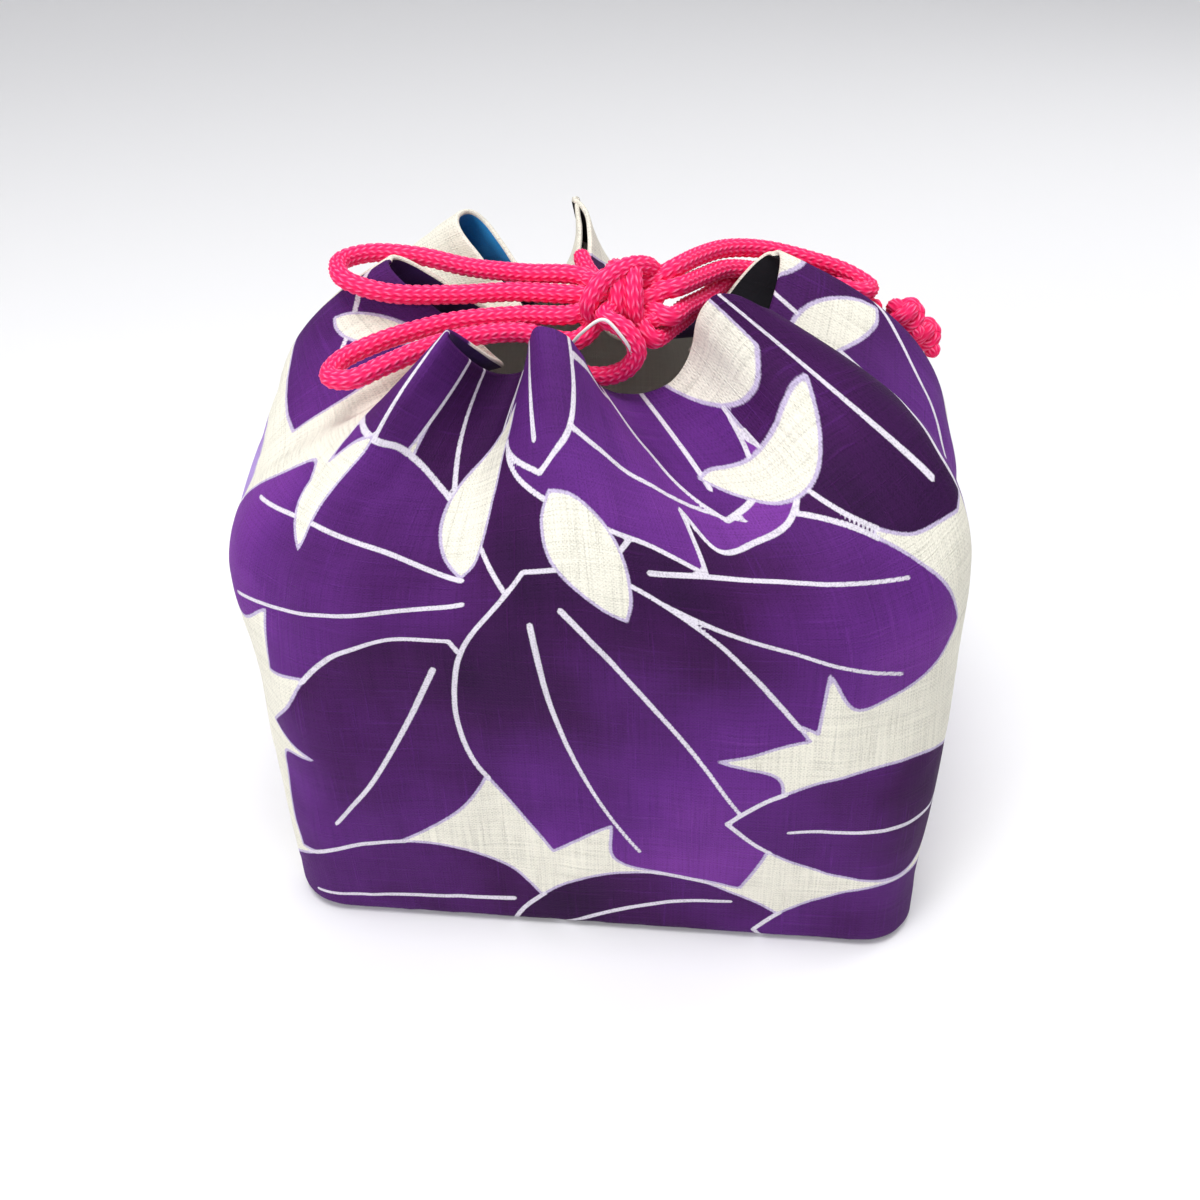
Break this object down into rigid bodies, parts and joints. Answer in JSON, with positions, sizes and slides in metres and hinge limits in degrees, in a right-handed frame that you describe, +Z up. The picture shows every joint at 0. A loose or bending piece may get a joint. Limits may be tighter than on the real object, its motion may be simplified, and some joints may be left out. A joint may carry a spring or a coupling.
{
  "type": "kinchaku drawstring pouch",
  "caption": "Square-bottomed cotton drawstring pouch with a lining, its mouth gathered and tied shut with a bow of knitted cord.",
  "frame": {"origin": "middle of the base, on the surface that the pouch stands on", "axes": "+Z up through the mouth, +X to the pouch's right as seen from its front, which faces -Y"},
  "size_m": [0.1802, 0.156, 0.1602],
  "materials": {
    "outer_cloth": "matte slub cotton, purple leaves on cream",
    "lining_cloth": "plain matte cotton",
    "facing_cloth_front": "matte cotton with white stitches",
    "facing_cloth_rear": "matte cotton in black and blue",
    "drawcord": "knitted cord with a soft sheen"
  },
  "bodies": {
    "root": {"outer_front_panel": "outer_cloth", "outer_rear_panel": "outer_cloth", "lining_front_panel": "lining_cloth", "lining_rear_panel": "lining_cloth", "facing_front": "facing_cloth_front", "facing_rear": "facing_cloth_rear", "left_loop_upper": "drawcord", "left_loop_lower": "drawcord", "right_loop": "drawcord", "tail_1": "drawcord", "tail_2": "drawcord", "front_lead": "drawcord", "rear_lead": "drawcord", "bow_knot": "drawcord", "end_knot_1": "drawcord", "end_knot_2": "drawcord"}
  },
  "joints": []
}
